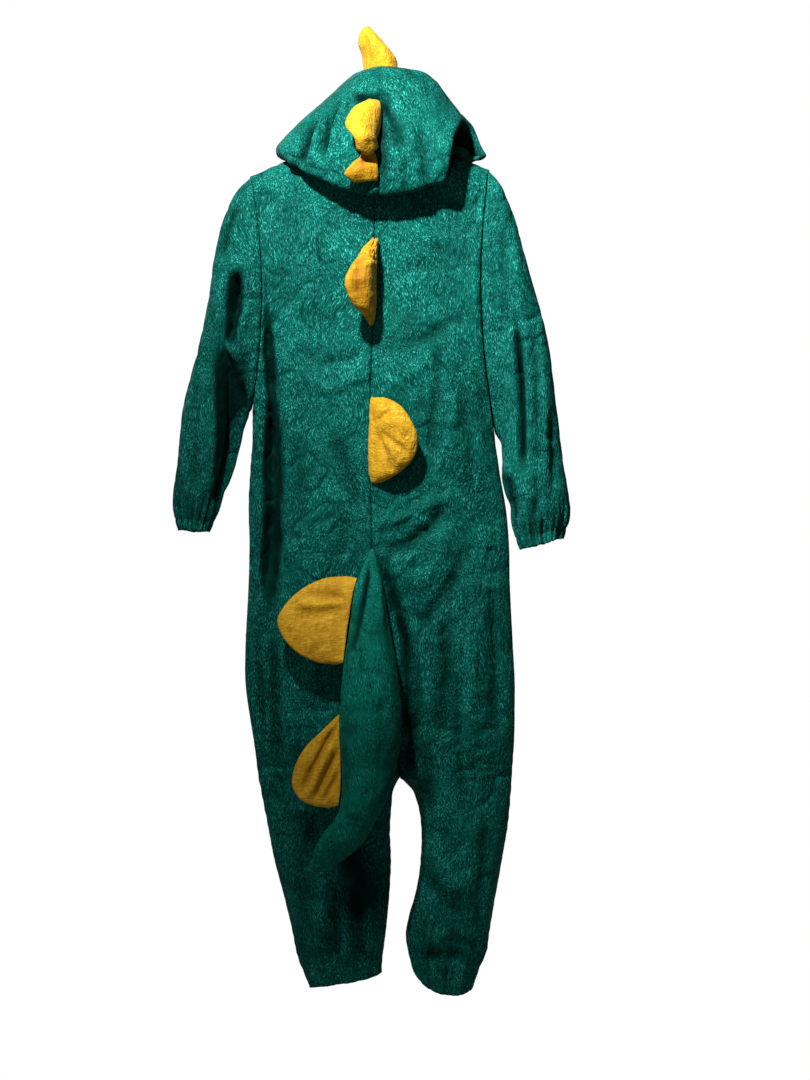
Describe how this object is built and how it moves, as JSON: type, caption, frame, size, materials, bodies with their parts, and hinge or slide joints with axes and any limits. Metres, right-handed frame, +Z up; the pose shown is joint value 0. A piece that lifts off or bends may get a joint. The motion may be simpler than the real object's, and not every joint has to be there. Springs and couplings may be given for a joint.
{
  "type": "dinosaur costume on a hanger",
  "caption": "Child's all-in-one dinosaur costume of green pile cloth with a hood, padded tail and yellow spikes, hanging on a plain hanger.",
  "frame": {"origin": "the point inside the top of the hanger's hook that bears on its peg", "axes": "+Z up, the costume's back faces -Y, its wearer's right is +X; the peg lies along Y and comes in from +Y through the hood's face opening"},
  "size_m": [0.4734, 0.1567, 1.1596],
  "materials": {
    "green_cloth": "short shiny pile",
    "yellow_cloth": "short soft pile",
    "hanger_wood": "satin",
    "hook_wire": "satin"
  },
  "bodies": {
    "root": {"back_left": "green_cloth", "back_right": "green_cloth", "front_left": "green_cloth", "front_right": "green_cloth", "sleeve_left": "green_cloth", "sleeve_right": "green_cloth", "hood_left": "green_cloth", "hood_right": "green_cloth", "tail_left": "green_cloth", "tail_right": "green_cloth", "spike_1": "yellow_cloth", "spike_2": "yellow_cloth", "spike_3": "yellow_cloth", "spike_4": "yellow_cloth", "spike_5": "yellow_cloth", "spike_6": "yellow_cloth", "hanger": "hanger_wood", "hanger_hook": "hook_wire"}
  },
  "joints": []
}
